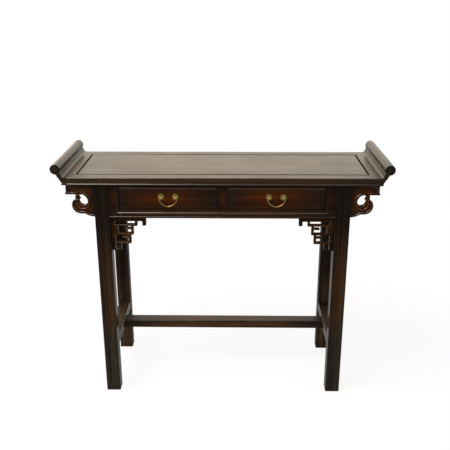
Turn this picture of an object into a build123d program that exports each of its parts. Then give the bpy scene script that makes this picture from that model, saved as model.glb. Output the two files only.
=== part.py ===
from build123d import *
import math
import os

# A Chinese altar table, in millimetres. +Z is up, the front faces -Y, and the origin is on the
# floor under the middle of the table. Most pieces come in mirrored pairs: the right-hand or
# front one is modelled, and the others are its mirror images in the planes X = 0 and Y = 0.

# ---- Overall sizes
flat_top_height = 830.0        # floor to the flat of the top
top_depth = 370.0              # over the beaded edges, front to rear
leg_spread = 870.0             # over the legs, left to right
end_overhang = 86.0            # flat of the top past the outer face of a leg
leg_setback = 5.0              # legs behind the beaded edge of the top

# ---- Framed top
top_thickness = 26.0
long_rail_width = 46.0
end_rail_width = 23.0
edge_bead_height = 6.0         # half-round bead along the bottom of the edge
edge_bead_proud = 2.0
edge_arris_radius = 2.0
bead_round_share = 0.48        # rounding of a bead's front edges, as a share of its height
lip_round_share = 0.9          # rounding of a lip's edges, as a share of how far it stands proud
panel_thickness = 12.0
panel_shadow_gap = 3.0         # open line round the floating panel
shadow_gap_chamfer = 3.0       # on both arrises of that line
panel_tongue_thickness = 5.0
panel_tongue_drop = 4.0        # top of the tongue under the flat
panel_tongue_hold = 5.5        # tongue inside the groove
panel_slip = 0.25              # groove wider than the tongue, each side
frame_tenon_width = 10.0
frame_tenon_thickness = 8.0
frame_tenon_reach = 33.0       # past the inner edge of the long rail
frame_tenon_inset = 5.0        # from the inner edge of the end rail
batten_width = 40.0
batten_place = 0.34            # battens at this share of the half length
batten_ridge_width = 24.0
batten_ridge_height = 3.0
batten_tenon_length = 8.0
batten_tenon_thickness = 5.0

# ---- Everted end flanges
flange_foot_width = 16.0
flange_outer_lean = 57.5       # degrees from the flat
flange_inner_lean = 71.0
flange_inner_start = 15.0      # inner face leaves the flat this far past the joint
flange_cove_radius = 10.0
roll_radius = 17.0
roll_out = 36.0                # roll axis past the joint
roll_up = 28.0                 # roll axis above the flat
roll_groove_width = 2.4        # carved spiral on each end of the roll
roll_groove_depth = 1.6
roll_groove_margin = 2.2       # spiral inside the rim of the roll
roll_spiral_step = 1.7         # each half turn is this much smaller in radius
roll_spiral_half_turns = 4
flange_tongue_thickness = 7.0
flange_tongue_length = 7.0

# ---- Legs
leg_width = 51.0
leg_depth = 45.0
leg_arris_radius = 3.0
leg_foot_chamfer = 1.0
leg_tenon_width = 28.0
leg_tenon_depth = 20.0
leg_tenon_height = 12.0
leg_tenon_cover = 11.0         # rail left in front of the tenon

# ---- Stretchers
stretcher_height = 31.0
stretcher_width = 45.0
stretcher_floor_gap = 180.0
stretcher_arris_radius = 2.5
stretcher_tenon_length = 30.0
stretcher_tenon_thickness = 18.0
centre_tenon_length = 16.0
tenon_shoulder = 5.0           # shoulder above and below a stretcher's tenon

# ---- Frieze boards with the cloud scroll
frieze_height = 33.5
frieze_thickness = 14.0
frieze_setback = 3.0           # behind the faces of the legs
frieze_end_setback = 9.0       # inside the foot of the flange
frieze_bead_height = 8.0
frieze_bead_proud = 2.0
frieze_bead_start = 55.0       # bead starts this far past the leg, over the neck of the scroll
frieze_tongue_thickness = 6.0
frieze_tongue_length = 8.0
scroll_reach = 75.5            # lobe of the scroll, from the leg
scroll_drop = 79.0             # foot of the scroll under the frieze board

# ---- Drawer case
case_setback = 3.0             # face of the case behind the faces of the legs
drawer_opening_height = 78.0
top_rail_height = 8.0
bottom_rail_height = 31.0
front_rail_depth = 28.0
stile_width = 34.5
stile_thickness = 22.0
divider_width = 31.0
case_tenon_length = 20.0       # rails into the legs
case_tenon_thickness = 12.0
post_tenon_height = 5.0        # stiles and divider into the rails
post_tenon_inset = 6.0
case_bead_radius = 4.0
case_bead_proud = 2.7
case_bead_margin = 8.5         # bead axis beside the drawer openings
case_bead_drop = 14.5          # bead axis under the drawer openings
case_lip_height = 5.5
case_lip_proud = 2.0
case_board_thickness = 18.0    # sides and back
case_board_tongue = 12.0       # into the legs
case_board_tongue_thickness = 8.0
runner_thickness = 14.0
runner_bearing = 14.0          # runner under a drawer, past the edge of the opening
runner_tenon_length = 8.0
runner_tenon_thickness = 6.0
guide_height = 20.0
kicker_gap = 3.0               # over the drawer sides
stop_length = 25.0
stop_height = 6.0
stop_spread = 200.0            # between the two stops of one drawer

# ---- Drawers
drawer_gap = 1.0               # round a drawer front, and beside a drawer
drawer_front_thickness = 18.0
drawer_front_round = 4.0
drawer_side_thickness = 12.0
drawer_side_drop = 7.0         # sides lower than the top of the front
drawer_back_thickness = 10.0
drawer_bottom_thickness = 5.0
drawer_bottom_raise = 8.5      # under the bottom, clear of the stops
drawer_bottom_groove = 5.0
drawer_rear_gap = 15.0         # shut drawer to the back of the case
runner_clearance = 0.3         # drawer sides over the runners
stop_clearance = 0.3
tail_length = 12.0             # half-blind dovetails
tail_count = 3
tail_root_height = 12.0
tail_tip_height = 16.0
drawer_back_housing = 4.0

# ---- Bail pulls
pull_spread = 49.0             # between the two posts
pull_rise = 5.0                # posts above the middle of the drawer front
rosette_radius = 12.4
rosette_rim = 1.2
rosette_dome = 4.0
rosette_shoulder_radius = 9.3  # where the dome steepens
rosette_shoulder_height = 2.7
rosette_seat_margin = 0.4      # flat round the neck of the post
post_ball_radius = 3.3
post_ball_reach = 9.0          # ball centre in front of the drawer front
post_neck_radius = 2.4
post_shank_radius = 2.0
shank_hole_clearance = 0.1
nut_width = 8.0
nut_thickness = 3.0
shank_end = 2.0                # shank past the nut
bail_wire_radius = 2.1
bail_arm_gap = 0.4             # arm beside the ball
bail_drop = 33.0
# The curve of the bail, in shares of its half width and of its drop.
bail_curve = ((0.97, 0.27), (0.84, 0.54), (0.6, 0.78), (0.3, 0.94))
bail_pin_radius = 1.4
bail_pin_clearance = 0.06
bail_pin_end = 1.6             # pin past the middle of the ball

# ---- Key-fret brackets, measured from the leg and down from the rail
fret_thickness = 18.0
fret_setback = 4.0             # behind the face of the case
fret_frame = 13.5              # bar against the leg
fret_frame_wide = 24.5         # the same bar beside the second level
fret_bar = 5.5                 # height of the level bars
fret_post = 8.0                # width of the drops
fret_top_bar = 14.0
fret_reach = 121.5             # tip of the bracket from the leg
fret_tip_drop = 30.0
fret_tip_width = 12.5
fret_steps = (91.5, 77.5, 68.0, 33.0)       # outer edge of each level
fret_levels = (31.5, 63.5, 96.0, 121.0)     # bottom of each level's bar
fret_hook_gap = 7.8            # hook under the bar above it
fret_hook_bar = 5.0
fret_hook_reach = 28.0         # hook, from the outer edge of its drop

# ---- Places that several pieces share
leg_outer_x = leg_spread / 2
leg_inner_x = leg_outer_x - leg_width
leg_front_y = -(top_depth / 2 - leg_setback)
leg_back_y = leg_front_y + leg_depth
joint_x = leg_outer_x + end_overhang
edge_y = -(top_depth / 2 - edge_bead_proud)
long_rail_inner_y = -(top_depth / 2 - long_rail_width)
end_rail_inner_x = joint_x - end_rail_width
under_top_z = flat_top_height - top_thickness
frieze_bottom_z = under_top_z - frieze_height
opening_top_z = under_top_z - top_rail_height
opening_bottom_z = opening_top_z - drawer_opening_height
rail_bottom_z = opening_bottom_z - bottom_rail_height
case_face_y = leg_front_y + case_setback
rail_back_y = case_face_y + front_rail_depth
opening_outer_x = leg_inner_x - stile_width
opening_inner_x = divider_width / 2
drawer_centre_x = (opening_outer_x + opening_inner_x) / 2
opening_width = opening_outer_x - opening_inner_x
case_back_outer_y = -case_face_y
case_back_y = case_back_outer_y - case_board_thickness
drawer_back_y = case_face_y + drawer_front_thickness


def box_between(x0, x1, y0, y1, z0, z1):
    """A box from its lowest and highest coordinates."""
    middle = Pos((x0 + x1) / 2, (y0 + y1) / 2, (z0 + z1) / 2)
    return middle * Box(x1 - x0, y1 - y0, z1 - z0)


def outline(*points):
    """A flat face inside straight lines through the points."""
    return make_face(Polyline(*points, close=True))


def along_x(sketch, x0, x1):
    """A section drawn in (y, z), carried from x0 to x1."""
    return extrude(Plane.YZ.offset(x0) * sketch, amount=x1 - x0)


def along_y(sketch, y0, y1):
    """A section drawn in (x, z), carried from y0 to y1."""
    return extrude(Plane.XZ.offset(-y1) * sketch, amount=y1 - y0)


def along_z(sketch, z0, z1):
    """A section drawn in (x, y), carried from z0 to z1."""
    return extrude(Plane.XY.offset(z0) * sketch, amount=z1 - z0)


def rod(start, end, radius):
    """A round bar between two points."""
    axis = Vector(*end) - Vector(*start)
    upright = (Align.CENTER, Align.CENTER, Align.MIN)
    return Plane(origin=start, z_dir=axis) * Cylinder(radius, axis.length, align=upright)


def left(piece):
    return mirror(piece, about=Plane.YZ)


def rear(piece):
    return mirror(piece, about=Plane.XZ)


pieces = {}


def keep_pair(name, right_piece):
    """Keep a right-hand piece and its mirror image on the left."""
    pieces[name + "_right"] = right_piece
    pieces[name + "_left"] = left(right_piece)


def keep_four(name, piece):
    """Keep a front right piece and its three mirror images."""
    keep_pair(name + "_front", piece)
    keep_pair(name + "_rear", rear(piece))


# ---- Top: a mitred frame round a floating panel, with two battens

groove_top_z = flat_top_height - panel_tongue_drop + panel_slip
groove_bottom_z = groove_top_z - panel_tongue_thickness - 2 * panel_slip
groove_reach = panel_tongue_hold + 2 * panel_slip
panel_half_length = end_rail_inner_x - panel_shadow_gap
panel_half_depth = -long_rail_inner_y - panel_shadow_gap
panel_bottom_z = flat_top_height - panel_thickness
batten_x = batten_place * panel_half_length
frame_tenon_z = (under_top_z + groove_bottom_z) / 2


def frame_tenon():
    """The tenon of the right end rail in the front rail."""
    inner_x = end_rail_inner_x + frame_tenon_inset
    return box_between(inner_x, inner_x + frame_tenon_width,
                       long_rail_inner_y - frame_tenon_reach, long_rail_inner_y,
                       frame_tenon_z - frame_tenon_thickness / 2, frame_tenon_z + frame_tenon_thickness / 2)


def leg_tenon():
    """The tenon on top of the front right leg."""
    middle_x = (leg_inner_x + leg_outer_x) / 2
    front_y = leg_front_y + leg_tenon_cover
    return box_between(middle_x - leg_tenon_width / 2, middle_x + leg_tenon_width / 2,
                       front_y, front_y + leg_tenon_depth, under_top_z, under_top_z + leg_tenon_height)


def batten_tenons(x):
    """Both tenons of a batten, in the long rails."""
    reach = -long_rail_inner_y + batten_tenon_length
    middle_z = (under_top_z + panel_bottom_z) / 2
    return box_between(x - batten_ridge_width / 2, x + batten_ridge_width / 2, -reach, reach,
                       middle_z - batten_tenon_thickness / 2, middle_z + batten_tenon_thickness / 2)


def long_rail():
    """The front rail of the top, with its edge bead, panel groove and mortises."""
    body = box_between(-joint_x, joint_x, edge_y, long_rail_inner_y, under_top_z, flat_top_height)
    front_arris, inner_arris = body.edges().filter_by(Axis.X).sort_by(Axis.Z)[-2:].sort_by(Axis.Y)
    body = fillet(front_arris, edge_arris_radius)
    inner_arris = body.edges().filter_by(Axis.X).sort_by_distance(inner_arris.center())[0]
    body = chamfer(inner_arris, shadow_gap_chamfer)
    bead = box_between(-joint_x, joint_x, -top_depth / 2, long_rail_inner_y,
                       under_top_z, under_top_z + edge_bead_height)
    bead = fillet(bead.edges().filter_by(Axis.X).group_by(Axis.Y)[0], bead_round_share * edge_bead_height)
    rail = body + bead
    rail -= box_between(-joint_x, joint_x, long_rail_inner_y - groove_reach, long_rail_inner_y,
                        groove_bottom_z, groove_top_z)
    mitre = along_z(outline((end_rail_inner_x, long_rail_inner_y), (joint_x, edge_y),
                            (joint_x + 1, edge_y), (joint_x + 1, long_rail_inner_y + 1),
                            (end_rail_inner_x, long_rail_inner_y + 1)), under_top_z - 1, flat_top_height + 1)
    rail -= mitre + frame_tenon() + leg_tenon()
    rail -= left(mitre + frame_tenon() + leg_tenon())
    for x in (-batten_x, batten_x):
        rail -= batten_tenons(x)
    return rail


def end_rail():
    """The right end rail, mitred and tenoned into the long rails, with grooves on both sides."""
    rail = along_z(outline((end_rail_inner_x, long_rail_inner_y), (joint_x, edge_y),
                           (joint_x, -edge_y), (end_rail_inner_x, -long_rail_inner_y)),
                   under_top_z, flat_top_height)
    inner_arris = rail.edges().filter_by(Axis.Y).group_by(Axis.Z)[-1].sort_by(Axis.X)[0]
    rail = chamfer(inner_arris, shadow_gap_chamfer)
    rail += frame_tenon() + rear(frame_tenon())
    rail -= box_between(end_rail_inner_x, end_rail_inner_x + groove_reach,
                        long_rail_inner_y - groove_reach, -long_rail_inner_y + groove_reach,
                        groove_bottom_z, groove_top_z)
    return rail - flange_tongue()


def top_panel():
    """The floating panel: flush on top, with a tongue all round and housings for the battens."""
    panel = box_between(-panel_half_length, panel_half_length, -panel_half_depth, panel_half_depth,
                        panel_bottom_z, flat_top_height)
    panel = chamfer(panel.faces().sort_by(Axis.Z)[-1].edges(), shadow_gap_chamfer)
    tongue_x = end_rail_inner_x + panel_tongue_hold
    tongue_y = -long_rail_inner_y + panel_tongue_hold
    tongue_top_z = flat_top_height - panel_tongue_drop
    panel += box_between(-tongue_x, tongue_x, -tongue_y, tongue_y,
                         tongue_top_z - panel_tongue_thickness, tongue_top_z)
    for x in (-batten_x, batten_x):
        panel -= batten_ridge(x)
    return panel


def batten_ridge(x):
    """The dovetailed ridge of a batten, in the underside of the panel."""
    root = batten_ridge_width / 2 - batten_ridge_height / 2
    tip = batten_ridge_width / 2
    section = outline((x - root, panel_bottom_z), (x + root, panel_bottom_z),
                      (x + tip, panel_bottom_z + batten_ridge_height),
                      (x - tip, panel_bottom_z + batten_ridge_height))
    return along_y(section, -panel_half_depth, panel_half_depth)


def batten(x):
    """A cross batten under the panel."""
    bar = box_between(x - batten_width / 2, x + batten_width / 2, long_rail_inner_y, -long_rail_inner_y,
                      under_top_z, panel_bottom_z)
    return bar + batten_tenons(x) + batten_ridge(x)


# ---- Everted end flanges

roll_x = joint_x + roll_out
roll_z = flat_top_height + roll_up


def flange_tongue():
    """The tongue that joins a flange to its end rail."""
    middle_z = under_top_z + top_thickness / 2
    return box_between(joint_x - flange_tongue_length, joint_x, long_rail_inner_y, -long_rail_inner_y,
                       middle_z - flange_tongue_thickness / 2, middle_z + flange_tongue_thickness / 2)


def flange_section():
    """The leaning board with its roll, in (x, z)."""
    foot_x = joint_x + flange_foot_width
    foot_z = under_top_z + edge_bead_height
    inner_x = joint_x + flange_inner_start
    # Both faces of the board run on into the roll.
    outer_rise = roll_z - roll_radius * 3 / 4 - foot_z
    inner_rise = roll_z - flat_top_height
    outer_run = outer_rise / math.tan(math.radians(flange_outer_lean))
    inner_run = inner_rise / math.tan(math.radians(flange_inner_lean))
    board = outline((joint_x, under_top_z), (foot_x, under_top_z), (foot_x, foot_z),
                    (foot_x + outer_run, foot_z + outer_rise),
                    (inner_x + inner_run, flat_top_height + inner_rise),
                    (inner_x, flat_top_height), (joint_x, flat_top_height))
    corner = board.vertices().sort_by_distance((inner_x, flat_top_height, 0))[0]
    board = fillet(corner, flange_cove_radius)
    return board + Pos(roll_x, roll_z) * Circle(roll_radius)


def roll_spiral(face_y):
    """The carved spiral on the end of the roll: half circles that step in round two centres."""
    turns = []
    radius = roll_radius - roll_groove_margin
    side = 1
    start = (roll_x, roll_z - radius)
    for turn in range(roll_spiral_half_turns):
        end = (roll_x, start[1] + side * 2 * radius)
        middle = (roll_x + side * radius, (start[1] + end[1]) / 2)
        turns.append(ThreePointArc(start, middle, end))
        start = end
        radius -= roll_spiral_step
        side = -side
    groove = trace(turns, roll_groove_width)
    return along_y(groove, face_y - roll_groove_depth, face_y + roll_groove_depth)


def end_flange():
    """The right flange, full depth, with the edge bead carried round its foot."""
    flange = along_y(flange_section(), edge_y, -edge_y)
    bead = box_between(joint_x, joint_x + flange_foot_width + edge_bead_proud, -top_depth / 2, top_depth / 2,
                       under_top_z, under_top_z + edge_bead_height)
    bead_edges = bead.edges().filter_by(Axis.Z, reverse=True)
    bead = fillet(bead_edges.sort_by(Axis.X)[2:], bead_round_share * edge_bead_height)
    flange += bead
    flange -= roll_spiral(edge_y) + roll_spiral(-edge_y)
    return flange + flange_tongue()


pieces["top_rail_front"] = long_rail()
pieces["top_rail_rear"] = rear(long_rail())
keep_pair("top_end_rail", end_rail())
pieces["top_panel"] = top_panel()
keep_pair("top_batten", batten(batten_x))
keep_pair("end_flange", end_flange())


# ---- Stretchers and legs

stretcher_top_z = stretcher_floor_gap + stretcher_height


def side_stretcher_tenon():
    """The tenon of the right side stretcher in the front leg."""
    middle_x = leg_inner_x + stretcher_width / 2
    return box_between(middle_x - stretcher_tenon_thickness / 2, middle_x + stretcher_tenon_thickness / 2,
                       leg_back_y - stretcher_tenon_length, leg_back_y,
                       stretcher_floor_gap + tenon_shoulder, stretcher_top_z - tenon_shoulder)


def centre_stretcher_tenon():
    """The right tenon of the centre stretcher."""
    return box_between(leg_inner_x, leg_inner_x + centre_tenon_length,
                       -stretcher_width / 2 + tenon_shoulder, stretcher_width / 2 - tenon_shoulder,
                       stretcher_floor_gap + tenon_shoulder, stretcher_top_z - tenon_shoulder)


def side_stretcher():
    """The right side stretcher, flush with the inner faces of the legs."""
    bar = box_between(leg_inner_x, leg_inner_x + stretcher_width, leg_back_y, -leg_back_y,
                      stretcher_floor_gap, stretcher_top_z)
    bar = fillet(bar.edges().filter_by(Axis.Y), stretcher_arris_radius)
    bar += side_stretcher_tenon() + rear(side_stretcher_tenon())
    return bar - centre_stretcher_tenon()


def centre_stretcher():
    """The long stretcher between the two side stretchers."""
    bar = box_between(-leg_inner_x, leg_inner_x, -stretcher_width / 2, stretcher_width / 2,
                      stretcher_floor_gap, stretcher_top_z)
    bar = fillet(bar.edges().filter_by(Axis.X), stretcher_arris_radius)
    return bar + centre_stretcher_tenon() + left(centre_stretcher_tenon())


def leg():
    """The front right leg, with mortises for all that meets it."""
    post = box_between(leg_inner_x, leg_outer_x, leg_front_y, leg_back_y, 0, under_top_z)
    post = fillet(post.edges().filter_by(Axis.Z), leg_arris_radius)
    post = chamfer(post.edges().group_by(Axis.Z)[0], leg_foot_chamfer)
    post += leg_tenon()
    post -= side_stretcher_tenon()
    post -= rail_tenon(rail_bottom_z, opening_bottom_z)
    post -= side_board_tongue()
    post -= frieze_tongue()
    return post


def rear_leg():
    """The rear right leg: it takes the back board instead of the front rails."""
    post = rear(box_between(leg_inner_x, leg_outer_x, leg_front_y, leg_back_y, 0, under_top_z))
    post = fillet(post.edges().filter_by(Axis.Z), leg_arris_radius)
    post = chamfer(post.edges().group_by(Axis.Z)[0], leg_foot_chamfer)
    post += rear(leg_tenon())
    post -= rear(side_stretcher_tenon() + side_board_tongue() + frieze_tongue())
    return post - back_board_tongue()


# ---- Drawer case

tongue_inset = (case_board_thickness - case_board_tongue_thickness) / 2
side_board_outer_x = leg_outer_x - case_setback
side_board_inner_x = side_board_outer_x - case_board_thickness


def rail_tenon(bottom_z, top_z):
    """The right tenon of a front rail, in the front leg."""
    middle_y = case_face_y + front_rail_depth / 2
    return box_between(leg_inner_x, leg_inner_x + case_tenon_length,
                       middle_y - case_tenon_thickness / 2, middle_y + case_tenon_thickness / 2,
                       bottom_z + tenon_shoulder, top_z - tenon_shoulder)


def side_board_tongue():
    """The tongue of the right side board in the front leg."""
    return box_between(side_board_inner_x + tongue_inset, side_board_outer_x - tongue_inset,
                       leg_back_y - case_board_tongue, leg_back_y,
                       rail_bottom_z + tenon_shoulder, under_top_z)


def back_board_tongue():
    """The tongue of the back board in the rear right leg."""
    return box_between(leg_inner_x, leg_inner_x + case_board_tongue,
                       case_back_y + tongue_inset, case_back_outer_y - tongue_inset,
                       rail_bottom_z + tenon_shoulder, under_top_z)


def post_tenon(x, width, z):
    """A stub tenon of a stile or the divider, across a rail's edge at height z."""
    return box_between(x - width / 2 + post_tenon_inset, x + width / 2 - post_tenon_inset,
                       case_face_y + post_tenon_inset, case_face_y + stile_thickness - post_tenon_inset,
                       z - post_tenon_height, z + post_tenon_height)


stile_x = leg_inner_x - stile_width / 2
bead_axis_x = opening_outer_x + case_bead_margin
bead_axis_z = opening_bottom_z - case_bead_drop
bead_axis_y = case_face_y + case_bead_radius - case_bead_proud


def case_bead(z0, z1):
    """The upright half-round bead on the right stile."""
    return rod((bead_axis_x, bead_axis_y, z0), (bead_axis_x, bead_axis_y, z1), case_bead_radius)


def bottom_rail():
    """The moulded front rail under the drawers: lip, cove and bead, with the bead turned up at both ends."""
    rail = box_between(-leg_inner_x, leg_inner_x, case_face_y, rail_back_y, rail_bottom_z, opening_bottom_z)
    lip = box_between(-leg_inner_x, leg_inner_x, case_face_y - case_lip_proud, rail_back_y,
                      rail_bottom_z, rail_bottom_z + case_lip_height)
    lip_arris = lip.edges().filter_by(Axis.X).group_by(Axis.Z)[-1].sort_by(Axis.Y)[0]
    rail += fillet(lip_arris, lip_round_share * case_lip_proud)
    rail += rod((-bead_axis_x, bead_axis_y, bead_axis_z), (bead_axis_x, bead_axis_y, bead_axis_z),
                case_bead_radius)
    for sign in (-1, 1):
        rail += Pos(sign * bead_axis_x, bead_axis_y, bead_axis_z) * Sphere(case_bead_radius)
    upturn = case_bead(bead_axis_z, opening_bottom_z)
    rail += upturn + left(upturn)
    tenon = rail_tenon(rail_bottom_z, opening_bottom_z)
    rail += tenon + left(tenon)
    for x, width in ((-stile_x, stile_width), (0, divider_width), (stile_x, stile_width)):
        rail -= post_tenon(x, width, opening_bottom_z)
    for x in (-opening_outer_x, 0, opening_outer_x):
        rail -= runner_tenons(x)
    return rail


def top_rail():
    """The thin front rail over the drawers."""
    rail = box_between(-leg_inner_x, leg_inner_x, case_face_y, rail_back_y, opening_top_z, under_top_z)
    for x, width in ((-stile_x, stile_width), (0, divider_width), (stile_x, stile_width)):
        rail -= post_tenon(x, width, opening_top_z)
    return rail


def case_post(x, width, round_sides):
    """A stile or the divider, with the arris beside each drawer rounded."""
    post = box_between(x - width / 2, x + width / 2, case_face_y, case_face_y + stile_thickness,
                       opening_bottom_z, opening_top_z)
    front_edges = post.edges().filter_by(Axis.Z).group_by(Axis.Y)[0].sort_by(Axis.X)
    post = fillet([front_edges[side] for side in round_sides], edge_arris_radius)
    return post + post_tenon(x, width, opening_bottom_z) + post_tenon(x, width, opening_top_z)


def case_side():
    """The right side board between the legs."""
    board = box_between(side_board_inner_x, side_board_outer_x, leg_back_y, -leg_back_y,
                        rail_bottom_z, under_top_z)
    return board + side_board_tongue() + rear(side_board_tongue())


def case_back():
    """The back board between the rear legs."""
    board = box_between(-leg_inner_x, leg_inner_x, case_back_y, case_back_outer_y,
                        rail_bottom_z, under_top_z)
    board += back_board_tongue() + left(back_board_tongue())
    for x in (-opening_outer_x, 0, opening_outer_x):
        board -= runner_tenons(x)
    return board


def runner_tenons(x):
    """Both tenons of a runner, in the bottom rail and the back board."""
    middle_z = opening_bottom_z - runner_thickness / 2
    return box_between(x - runner_bearing / 2, x + runner_bearing / 2,
                       rail_back_y - runner_tenon_length, case_back_y + runner_tenon_length,
                       middle_z - runner_tenon_thickness / 2, middle_z + runner_tenon_thickness / 2)


def runner(x0, x1, tenon_x):
    """A runner from the bottom rail to the back board, level with the bottom of the openings."""
    bar = box_between(x0, x1, rail_back_y, case_back_y,
                      opening_bottom_z - runner_thickness, opening_bottom_z)
    return bar + runner_tenons(tenon_x)


def guide(x0, x1):
    """A guide on top of a runner, beside a drawer."""
    return box_between(x0, x1, rail_back_y, case_back_y, opening_bottom_z, opening_bottom_z + guide_height)


def stops():
    """Four small blocks on the bottom rail, behind the drawer fronts."""
    blocks = []
    front_y = drawer_back_y + stop_clearance
    for centre in (-drawer_centre_x, drawer_centre_x):
        for x in (centre - stop_spread / 2, centre + stop_spread / 2):
            blocks.append(box_between(x - stop_length / 2, x + stop_length / 2, front_y, rail_back_y,
                                      opening_bottom_z, opening_bottom_z + stop_height))
    return Compound(blocks)


drawer_side_top_z = opening_top_z - drawer_gap - drawer_side_drop
bearing_x = opening_inner_x + runner_bearing

pieces["case_rail_bottom"] = bottom_rail()
pieces["case_rail_top"] = top_rail()
keep_pair("case_stile", case_post(stile_x, stile_width, (0,)) + case_bead(opening_bottom_z, opening_top_z))
pieces["case_divider"] = case_post(0, divider_width, (0, 1))
keep_pair("case_side", case_side())
pieces["case_back"] = case_back()
keep_pair("runner", runner(opening_outer_x - runner_bearing, leg_inner_x, opening_outer_x))
pieces["runner_centre"] = runner(-bearing_x, bearing_x, 0)
keep_pair("guide", guide(opening_outer_x, leg_inner_x))
pieces["guide_centre"] = guide(-opening_inner_x, opening_inner_x)
pieces["kicker_centre"] = box_between(-bearing_x, bearing_x, rail_back_y, case_back_y,
                                      drawer_side_top_z + kicker_gap, under_top_z)
pieces["drawer_stops"] = stops()


# ---- Frieze boards, with the cloud scroll under their outer ends

frieze_face_y = leg_front_y + frieze_setback
frieze_back_y = frieze_face_y + frieze_thickness
frieze_end_x = joint_x + flange_foot_width - frieze_end_setback


def frieze_tongue():
    """The tongue of the front right frieze board in the leg."""
    middle_y = frieze_face_y + frieze_thickness / 2
    return box_between(leg_outer_x - frieze_tongue_length, leg_outer_x,
                       middle_y - frieze_tongue_thickness / 2, middle_y + frieze_tongue_thickness / 2,
                       frieze_bottom_z, under_top_z - tenon_shoulder)


def scroll_point(out, down):
    """A point on the scroll, in hundredths of its reach and of its drop."""
    return (leg_outer_x + scroll_reach * out / 100, frieze_bottom_z - scroll_drop * down / 100)


def scroll_outline():
    """The cloud scroll's edge below the frieze, in (x, z): foot curve, cusp, lobe and neck."""
    at = scroll_point
    return make_face([
        Line(at(0, 0), at(0, 100)),
        ThreePointArc(at(0, 100), at(23, 96.5), at(44, 86.5)),
        Spline(at(44, 86.5), at(53, 87), at(68, 86), at(84, 79.5), at(95, 67.5),
               at(100, 52.5), at(98, 38.5), at(92, 28), at(82, 22)),
        Line(at(82, 22), at(82, 0)),
        Line(at(82, 0), at(0, 0)),
    ])


def scroll_eye():
    """The eye of the scroll, round below and square at its outer top corner, with a hooked point."""
    at = scroll_point
    return make_face([
        Line(at(65.5, 1), at(65.5, 9.5)),
        ThreePointArc(at(65.5, 9.5), at(64, 15), at(58.5, 18)),
        ThreePointArc(at(58.5, 18), at(63.5, 22), at(65.5, 29.5)),
        ThreePointArc(at(65.5, 29.5), at(49.5, 47.5), at(27, 28)),
        ThreePointArc(at(27, 28), at(34, 12.5), at(50.5, 1)),
        Line(at(50.5, 1), at(65.5, 1)),
    ])


def spandrel():
    """The front right frieze board, cloud scroll included, mitred where it meets the end board."""
    board = box_between(leg_outer_x, frieze_end_x, frieze_face_y, frieze_back_y,
                        frieze_bottom_z, under_top_z)
    board += along_y(scroll_outline(), frieze_face_y, frieze_back_y)
    board -= along_y(scroll_eye(), frieze_face_y - 1, frieze_back_y + 1)
    bead = box_between(leg_outer_x + frieze_bead_start, frieze_end_x + frieze_bead_proud,
                       frieze_face_y - frieze_bead_proud, frieze_back_y,
                       frieze_bottom_z, frieze_bottom_z + frieze_bead_height)
    bead_front = bead.edges().group_by(Axis.Y)[0]
    board += fillet(bead_front.filter_by(Axis.X), lip_round_share * frieze_bead_proud)
    board -= frieze_mitre()
    return board + frieze_tongue()


def frieze_mitre():
    """All that lies behind the mitre plane at the front right corner of the frieze."""
    size = 2 * frieze_thickness
    wedge = outline((frieze_end_x, frieze_face_y), (frieze_end_x + size, frieze_face_y - size),
                    (frieze_end_x + size, frieze_face_y + size), (frieze_end_x - size, frieze_face_y + size))
    return along_z(wedge, frieze_bottom_z - 1, under_top_z + 1)


def apron():
    """The right end board of the frieze, front to rear, mitred at both ends."""
    board = box_between(frieze_end_x - frieze_thickness, frieze_end_x, frieze_face_y, -frieze_face_y,
                        frieze_bottom_z, under_top_z)
    proud_y = -frieze_face_y + frieze_bead_proud
    bead = box_between(frieze_end_x - frieze_thickness, frieze_end_x + frieze_bead_proud, -proud_y, proud_y,
                       frieze_bottom_z, frieze_bottom_z + frieze_bead_height)
    bead_side = bead.edges().group_by(Axis.X)[-1]
    board += fillet(bead_side.filter_by(Axis.Y), lip_round_share * frieze_bead_proud)
    size = 4 * frieze_thickness
    far = frieze_end_x + size
    inner = frieze_end_x - size
    keep = outline((far, frieze_face_y - size), (far, -frieze_face_y + size),
                   (inner, -frieze_face_y - size), (inner, frieze_face_y + size))
    return board & along_z(keep, frieze_bottom_z - 1, under_top_z + 1)


keep_four("spandrel", spandrel())
keep_pair("apron", apron())
keep_pair("leg_front", leg())
keep_pair("leg_rear", rear_leg())
pieces["stretcher_centre"] = centre_stretcher()
keep_pair("stretcher_side", side_stretcher())


# ---- Key-fret brackets in the corners under the front and back

def fret():
    """The front right bracket: level bars that step back to the leg, with hooks turned into the openings."""
    def bar(near, far, top, bottom):
        near_x = leg_inner_x - near
        far_x = leg_inner_x - far
        return outline((near_x, rail_bottom_z - top), (far_x, rail_bottom_z - top),
                       (far_x, rail_bottom_z - bottom), (near_x, rail_bottom_z - bottom))
    first, second, third, last = fret_levels
    shape = bar(0, fret_reach, 0, fret_top_bar)
    shape += bar(fret_reach - fret_tip_width, fret_reach, 0, fret_tip_drop)
    shape += bar(0, fret_frame, 0, last)
    shape += bar(0, fret_frame_wide, first - fret_bar, second)
    tops = (0, first, second, third)
    for step, (outer, top, bottom) in enumerate(zip(fret_steps, tops, fret_levels)):
        shape += bar(0, outer, bottom - fret_bar, bottom)
        shape += bar(outer - fret_post, outer, top, bottom)
        if step in (1, 2):
            hook_top = top + fret_hook_gap
            shape += bar(outer - fret_hook_reach, outer, hook_top, hook_top + fret_hook_bar)
    face_y = case_face_y + fret_setback
    return along_y(shape, face_y, face_y + fret_thickness)


keep_four("fret", fret())


# ---- Drawers, modelled round x = 0 and moved to their openings

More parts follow.
